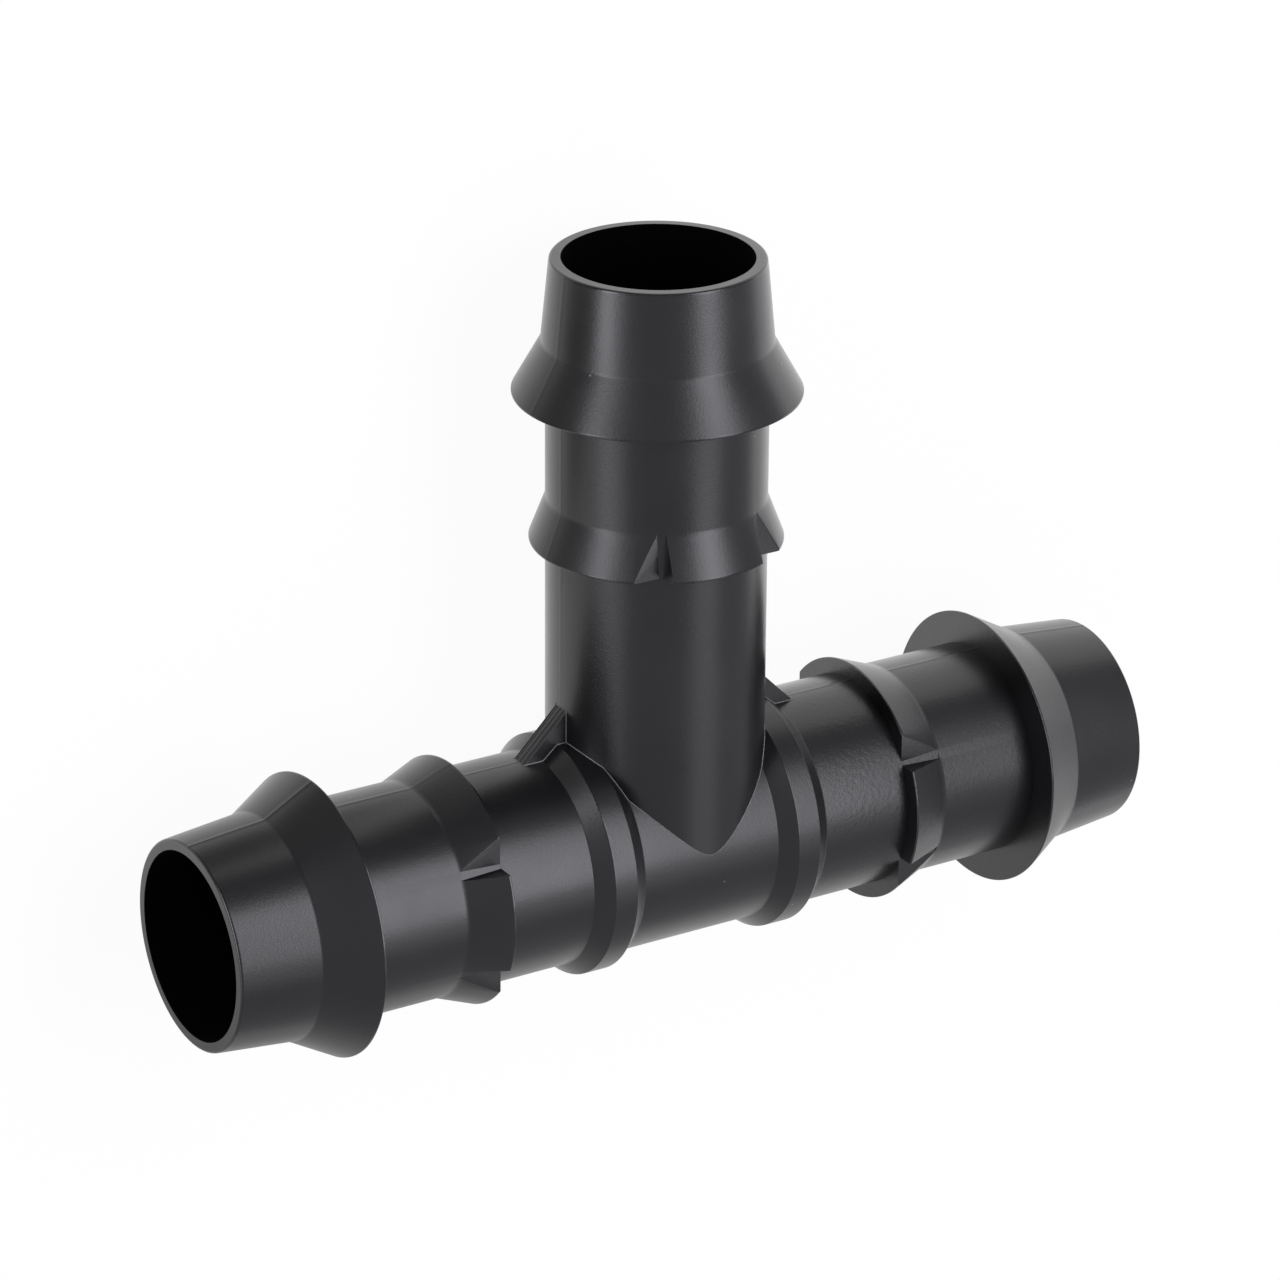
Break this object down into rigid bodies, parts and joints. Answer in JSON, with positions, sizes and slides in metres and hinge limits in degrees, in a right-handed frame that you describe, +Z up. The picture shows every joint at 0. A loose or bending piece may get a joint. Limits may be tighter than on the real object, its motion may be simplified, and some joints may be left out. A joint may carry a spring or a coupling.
{
  "type": "pipe tee connector",
  "caption": "Moulded barbed tee for soft watering pipe: a straight run with a square branch, each arm with a large barb, a notched inner barb and a plain barrel.",
  "frame": {"origin": "the point where the axis of the run and the axis of the branch cross", "axes": "+X along the run, +Y along the branch towards its mouth, +Z up from the surface the tee lies on, which is the way the mould opened"},
  "size_m": [0.0772, 0.0552, 0.021],
  "materials": {
    "black_plastic": "fine matte grain from a spark-eroded mould, satin on the barrels, not painted"
  },
  "bodies": {
    "root": {"tee_body": "black_plastic"}
  },
  "joints": []
}
